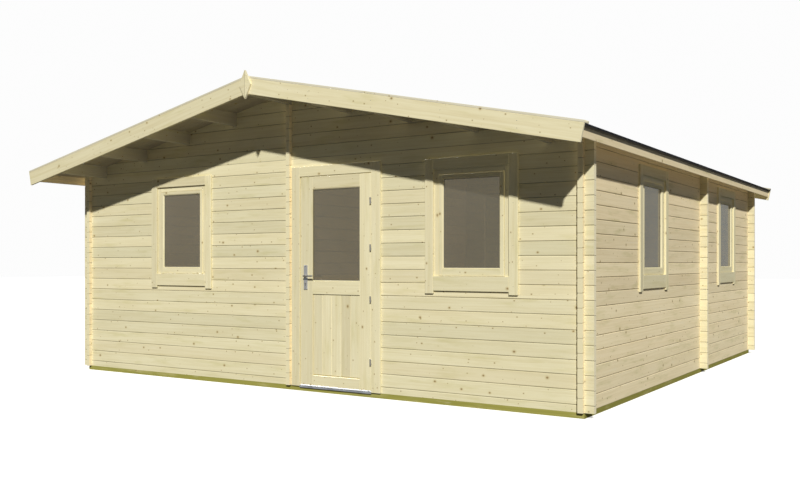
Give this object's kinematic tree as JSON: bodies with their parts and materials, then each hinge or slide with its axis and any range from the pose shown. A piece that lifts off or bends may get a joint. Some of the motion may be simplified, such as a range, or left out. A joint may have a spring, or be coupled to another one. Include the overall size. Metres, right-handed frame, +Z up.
{
  "type": "log cabin",
  "caption": "Low-gabled log cabin with crossed log corners, inner partitions, casement windows and a half-glazed door that opens outwards.",
  "frame": {"origin": "on the ground, under the middle of the roof's outline: X = 0 is the ridge line", "axes": "+Z up, the front with the door faces -Y, +X to the right seen from the front"},
  "size_m": [6.3098, 6.84, 2.9081],
  "materials": {
    "treated_timber": "rough sawn, green pressure treatment",
    "floor_spruce": "planed, untreated",
    "log_spruce": "planed, untreated",
    "roof_spruce": "planed, untreated",
    "roofing_felt": "mineral-surfaced bitumen felt",
    "trim_spruce": "planed, untreated",
    "joinery_spruce": "sanded, untreated",
    "window_glass": "clear float glass",
    "brushed_metal": "satin brushed"
  },
  "bodies": {
    "house": {"foundation_beams": "treated_timber", "floor_joists": "treated_timber", "floor_boards": "floor_spruce", "front_wall_left": "log_spruce", "front_wall_right": "log_spruce", "front_wall_over_door": "log_spruce", "front_gable": "log_spruce", "right_wall": "log_spruce", "left_wall": "log_spruce", "back_wall": "log_spruce", "back_gable": "log_spruce", "middle_partition_front": "log_spruce", "middle_partition_rear": "log_spruce", "middle_partition_head": "log_spruce", "cross_partition": "log_spruce", "ridge_purlin": "roof_spruce", "side_purlins": "roof_spruce", "left_roof_boards": "roof_spruce", "right_roof_boards": "roof_spruce", "left_felt": "roofing_felt", "right_felt": "roofing_felt", "front_bargeboards": "trim_spruce", "back_bargeboards": "trim_spruce", "front_cap_boards": "trim_spruce", "back_cap_boards": "trim_spruce", "diamonds": "trim_spruce", "fascias": "trim_spruce", "front_window_casings": "trim_spruce", "side_window_casings": "trim_spruce", "door_casings": "trim_spruce", "front_window_frames": "joinery_spruce", "front_window_sashes": "joinery_spruce", "side_window_frames": "joinery_spruce", "side_window_sashes": "joinery_spruce", "door_frame": "joinery_spruce", "front_window_glass": "window_glass", "side_window_glass": "window_glass", "threshold": "brushed_metal", "frame_hinges": "brushed_metal"},
    "door": {"door_leaf": "joinery_spruce", "door_panel": "joinery_spruce", "door_glass": "window_glass", "leaf_hinges": "brushed_metal", "lock_plates": "brushed_metal"},
    "lever": {"door_levers": "brushed_metal"}
  },
  "joints": [
    {"name": "door_hinge", "type": "hinge", "parent": "house", "child": "door", "pos_m": [0.9445, -2.828, 1.045], "axis": [0, 0, 1], "range_deg": [0, 110]},
    {"name": "lever_pivot", "type": "hinge", "parent": "door", "child": "lever", "pos_m": [0.205, -2.792, 1.075], "axis": [0, 1, 0], "range_deg": [0, 40], "stiffness_Nm_per_rad": 1.5, "springref_deg": -34.38}
  ]
}
